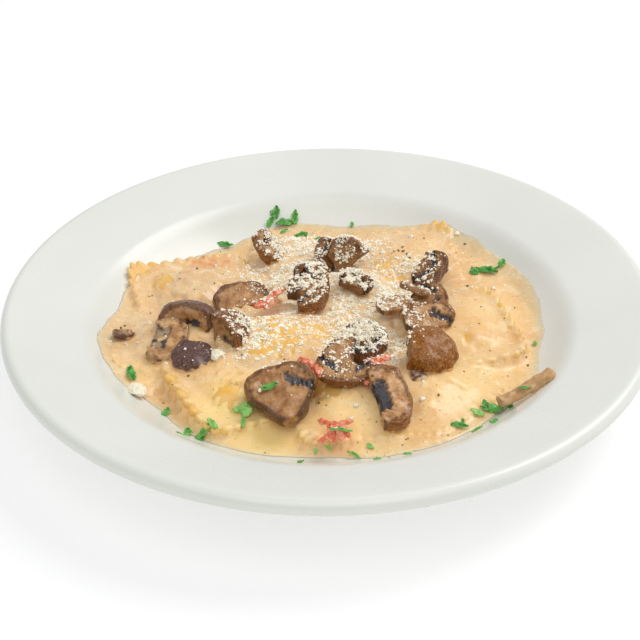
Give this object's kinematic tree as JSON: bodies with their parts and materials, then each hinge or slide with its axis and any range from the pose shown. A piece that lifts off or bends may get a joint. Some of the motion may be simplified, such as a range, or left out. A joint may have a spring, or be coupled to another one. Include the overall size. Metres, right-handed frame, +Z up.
{
  "type": "plate of ravioli",
  "caption": "Wide-rimmed white pasta plate of square ravioli in a cream sauce, with cut mushrooms, grated cheese and parsley on top.",
  "frame": {"origin": "on the plate's axis, at the table that its foot ring stands on", "axes": "+Z up out of the plate, -Y towards the diner, +X to the diner's right"},
  "size_m": [0.2998, 0.2998, 0.0454],
  "materials": {
    "glaze": "clear glaze over white porcelain",
    "sauce": "smooth wet cream sauce",
    "pasta": "cooked egg pasta with a thin film of sauce",
    "mushroom": "fried mushroom, moist, brown skin over tan flesh",
    "tomato": "soft wet cooked tomato",
    "cheese": "dry shaved hard cheese"
  },
  "bodies": {
    "root": {"plate": "glaze", "sauce": "sauce", "raviolo_01": "pasta", "raviolo_02": "pasta", "raviolo_03": "pasta", "raviolo_04": "pasta", "raviolo_05": "pasta", "raviolo_06": "pasta", "raviolo_07": "pasta", "raviolo_08": "pasta", "raviolo_09": "pasta", "raviolo_10": "pasta", "mushroom_01": "mushroom", "mushroom_02": "mushroom", "mushroom_03": "mushroom", "mushroom_04": "mushroom", "mushroom_05": "mushroom", "mushroom_06": "mushroom", "mushroom_07": "mushroom", "mushroom_08": "mushroom", "mushroom_09": "mushroom", "mushroom_10": "mushroom", "mushroom_11": "mushroom", "mushroom_12": "mushroom", "mushroom_13": "mushroom", "mushroom_14": "mushroom", "mushroom_15": "mushroom", "mushroom_16": "mushroom", "mushroom_17": "mushroom", "mushroom_18": "mushroom", "mushroom_19": "mushroom", "mushroom_20": "mushroom", "mushroom_21": "mushroom", "mushroom_22": "mushroom", "stalk_01": "mushroom", "stalk_02": "mushroom", "tomato_01": "tomato", "tomato_02": "tomato", "tomato_03": "tomato", "tomato_04": "tomato", "cheese_01": "cheese", "cheese_02": "cheese"}
  },
  "joints": []
}
